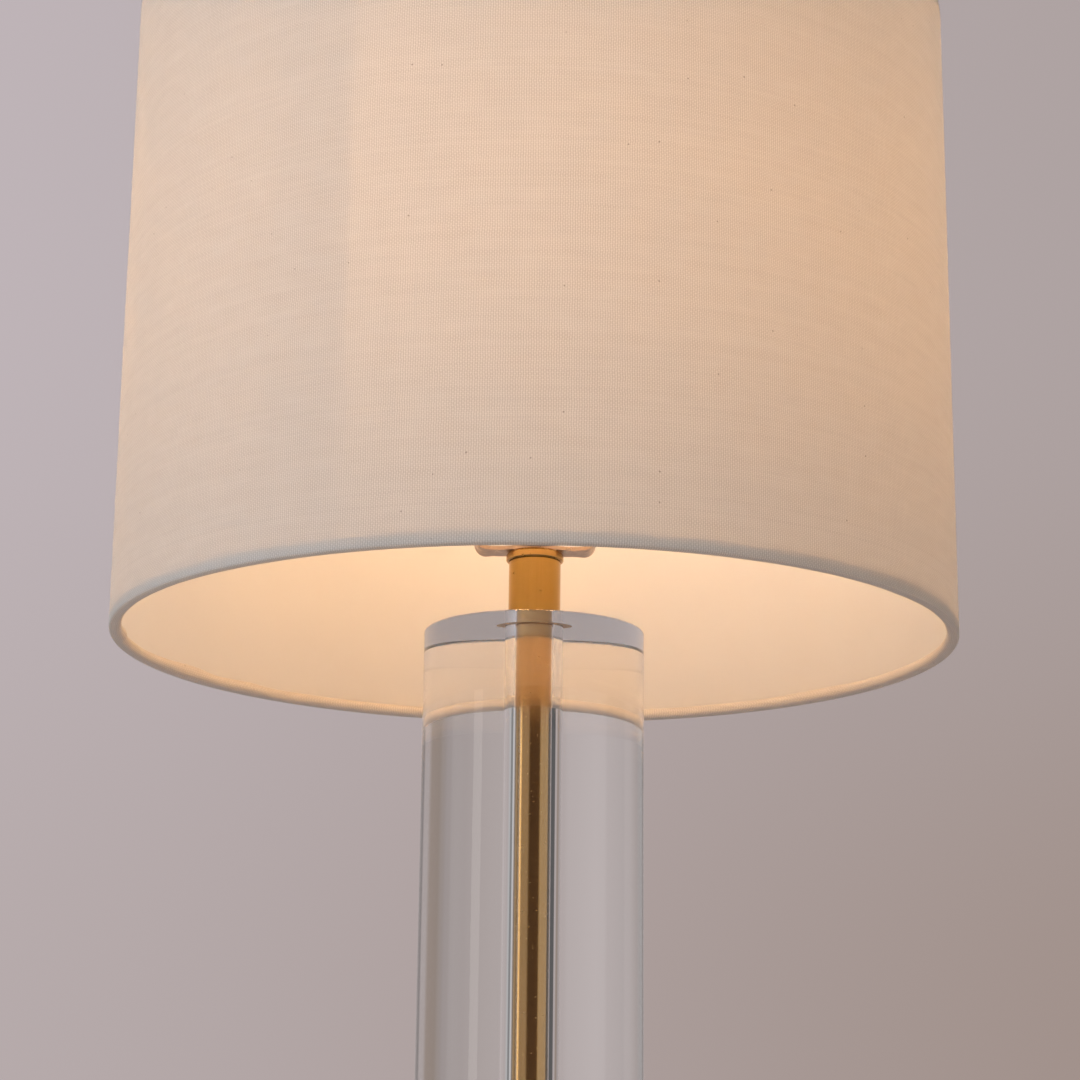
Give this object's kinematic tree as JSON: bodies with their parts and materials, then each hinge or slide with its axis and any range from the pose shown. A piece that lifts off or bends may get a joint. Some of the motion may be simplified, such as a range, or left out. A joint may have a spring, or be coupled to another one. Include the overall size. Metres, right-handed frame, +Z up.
{
  "type": "table lamp",
  "caption": "Table lamp with a clear crystal column on a stepped round base, satin metal stem and neck, and a straight drum shade of woven fabric.",
  "frame": {"origin": "centre of the felt pad's underside, on the surface that the lamp stands on", "axes": "+Z up along the column; -Y towards the viewer in front of the lamp, with the switch knob; +Y towards the cord inlet at the back; the harp lies in the XZ plane"},
  "size_m": [0.356, 0.356, 0.7],
  "materials": {
    "satin_brass": "satin, brushed around the axis",
    "bright_brass": "bright drawn brass",
    "nickel_plate": "bright nickel plate",
    "zinc_steel": "zinc plated",
    "ring_steel": "white dipped steel wire",
    "cast_iron": "as cast, black primer",
    "felt": "dense wool felt",
    "crystal": "polished clear crystal",
    "clear_washer": "translucent nylon",
    "black_plastic": "moulded phenolic",
    "grey_plastic": "moulded nylon",
    "insulating_card": "vulcanised fibre board",
    "aluminium_cap": "rolled",
    "bulb_glass": "inside frosted",
    "light_bars": "coated",
    "lead_brown": "insulated wire",
    "lead_cream": "insulated wire",
    "linen": "plain weave linen and cotton",
    "liner": "smooth white styrene"
  },
  "bodies": {
    "lamp": {"felt_pad": "felt", "cover_plate": "zinc_steel", "cover_screws": "zinc_steel", "base_weight": "cast_iron", "base_shell": "satin_brass", "gallery_ring": "satin_brass", "cord_inlet_bush": "black_plastic", "terminal_block": "grey_plastic", "terminal_block_screws": "zinc_steel", "lower_nut": "zinc_steel", "lower_washer": "zinc_steel", "threaded_pipe": "zinc_steel", "seat_washer": "clear_washer", "crystal_column": "crystal", "rod_sleeve": "satin_brass", "neck_washer": "clear_washer", "neck_tube": "satin_brass", "collar_ring": "satin_brass", "harp_saddle": "nickel_plate", "upper_nut": "zinc_steel", "socket_cap": "bright_brass", "cap_set_screw": "zinc_steel", "socket_shell": "bright_brass", "insulating_sleeve": "insulating_card", "socket_body": "black_plastic", "screw_shell": "aluminium_cap", "centre_contact": "bright_brass", "terminal_screws": "bright_brass", "lead_live": "lead_brown", "lead_neutral": "lead_cream"},
    "switch": {"switch_shaft": "zinc_steel", "switch_knob": "black_plastic"},
    "bulb": {"bulb_globe": "bulb_glass", "bulb_cap": "aluminium_cap", "bulb_insulator": "black_plastic", "bulb_contact": "bright_brass", "bulb_filaments": "light_bars"},
    "harp": {"harp_bow": "nickel_plate", "harp_stud": "nickel_plate"},
    "ferrule_left": {"harp_ferrule_left": "nickel_plate"},
    "ferrule_right": {"harp_ferrule_right": "nickel_plate"},
    "shade_carrier": {"shade_washer": "clear_washer"},
    "shade": {"spider": "nickel_plate", "top_ring": "ring_steel", "bottom_ring": "ring_steel", "shade_liner": "liner", "shade_fabric": "linen"},
    "finial_top": {"finial": "satin_brass"}
  },
  "joints": [
    {"name": "switch_turn", "type": "hinge", "parent": "lamp", "child": "switch", "pos_m": [0, -0.02, 0.465], "axis": [0, -1, 0], "continuous": true},
    {"name": "bulb_unscrew", "type": "slide", "parent": "lamp", "child": "bulb", "axis": [0, 0, 1], "range_m": [0, 0.028]},
    {"name": "harp_lift", "type": "slide", "parent": "lamp", "child": "harp", "axis": [0, 0, 1], "range_m": [0, 0.03]},
    {"name": "ferrule_left_lift", "type": "slide", "parent": "harp", "child": "ferrule_left", "axis": [0, 0, 1], "range_m": [0, 0.012]},
    {"name": "ferrule_right_lift", "type": "slide", "parent": "harp", "child": "ferrule_right", "axis": [0, 0, 1], "range_m": [0, 0.012]},
    {"name": "shade_lift", "type": "slide", "parent": "harp", "child": "shade_carrier", "axis": [0, 0, 1], "range_m": [0, 0.29]},
    {"name": "shade_turn", "type": "hinge", "parent": "shade_carrier", "child": "shade", "pos_m": [0, 0, 0.665], "axis": [0, 0, 1], "continuous": true},
    {"name": "finial_unscrew", "type": "slide", "parent": "shade_carrier", "child": "finial_top", "axis": [0, 0, 1], "range_m": [0, 0.02]}
  ]
}
